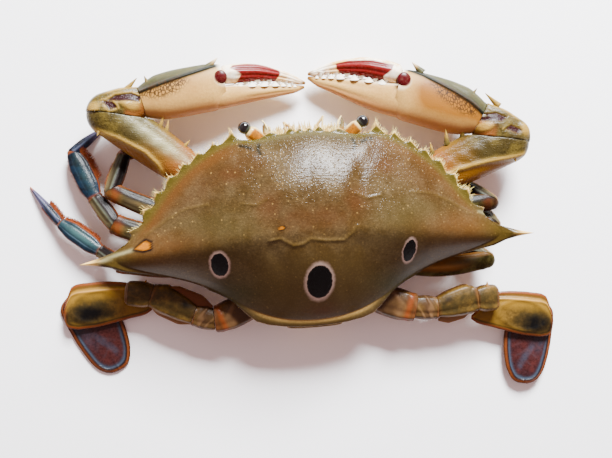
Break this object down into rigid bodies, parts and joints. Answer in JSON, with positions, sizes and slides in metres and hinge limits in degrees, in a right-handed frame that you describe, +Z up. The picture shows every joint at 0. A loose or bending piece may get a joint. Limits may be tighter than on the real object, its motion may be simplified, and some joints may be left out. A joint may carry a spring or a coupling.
{
  "type": "three-spot swimming crab",
  "caption": "Life-size swimming crab lying flat on its belly, olive shell with dark ringed spots, claws closed in front, paddles folded behind.",
  "frame": {"origin": "on the floor under the flat underside of the tail flap, on the crab's midline", "axes": "+X the crab's own left, -Y the way it faces, +Z up from the floor"},
  "size_m": [0.1701, 0.1135, 0.031],
  "materials": {
    "cream_claw": "satin shell, cream to orange",
    "eye_black": "gloss, wet black lens",
    "leg_blue": "satin shell, deep blue",
    "leg_olive": "satin shell",
    "olive_shell": "satin, finely granular shell",
    "paddle_plum": "satin shell, maroon and purple",
    "underside_bone": "matt pale shell",
    "wine_finger": "satin shell, wine red"
  },
  "bodies": {
    "root": {"antenna_l": "cream_claw", "antenna_r": "cream_claw", "breastplate": "underside_bone", "carapace": "olive_shell", "claw_l_arm": "leg_olive", "claw_l_base": "leg_olive", "claw_l_finger": "wine_finger", "claw_l_hand": "cream_claw", "claw_l_wrist": "leg_olive", "claw_r_arm": "leg_olive", "claw_r_base": "leg_olive", "claw_r_finger": "wine_finger", "claw_r_hand": "cream_claw", "claw_r_wrist": "leg_olive", "eye_l": "eye_black", "eye_r": "eye_black", "eyestalk_l": "cream_claw", "eyestalk_r": "cream_claw", "jaw_l": "underside_bone", "jaw_r": "underside_bone", "leg2_l_arm": "leg_olive", "leg2_l_hand": "leg_blue", "leg2_l_toe": "leg_blue", "leg2_l_wrist": "leg_olive", "leg2_r_arm": "leg_olive", "leg2_r_hand": "leg_blue", "leg2_r_toe": "leg_blue", "leg2_r_wrist": "leg_olive", "leg3_l_arm": "leg_olive", "leg3_l_hand": "leg_blue", "leg3_l_toe": "leg_blue", "leg3_l_wrist": "leg_olive", "leg3_r_arm": "leg_olive", "leg3_r_hand": "leg_blue", "leg3_r_toe": "leg_blue", "leg3_r_wrist": "leg_olive", "leg4_l_arm": "leg_olive", "leg4_l_hand": "leg_blue", "leg4_l_toe": "leg_blue", "leg4_l_wrist": "leg_olive", "leg4_r_arm": "leg_olive", "leg4_r_hand": "leg_blue", "leg4_r_toe": "leg_blue", "leg4_r_wrist": "leg_olive", "oar_l_arm": "leg_olive", "oar_l_base": "leg_olive", "oar_l_link": "leg_olive", "oar_l_paddle": "paddle_plum", "oar_l_plate": "leg_olive", "oar_l_wrist": "leg_olive", "oar_r_arm": "leg_olive", "oar_r_base": "leg_olive", "oar_r_link": "leg_olive", "oar_r_paddle": "paddle_plum", "oar_r_plate": "leg_olive", "oar_r_wrist": "leg_olive", "tail_flap": "underside_bone"}
  },
  "joints": []
}
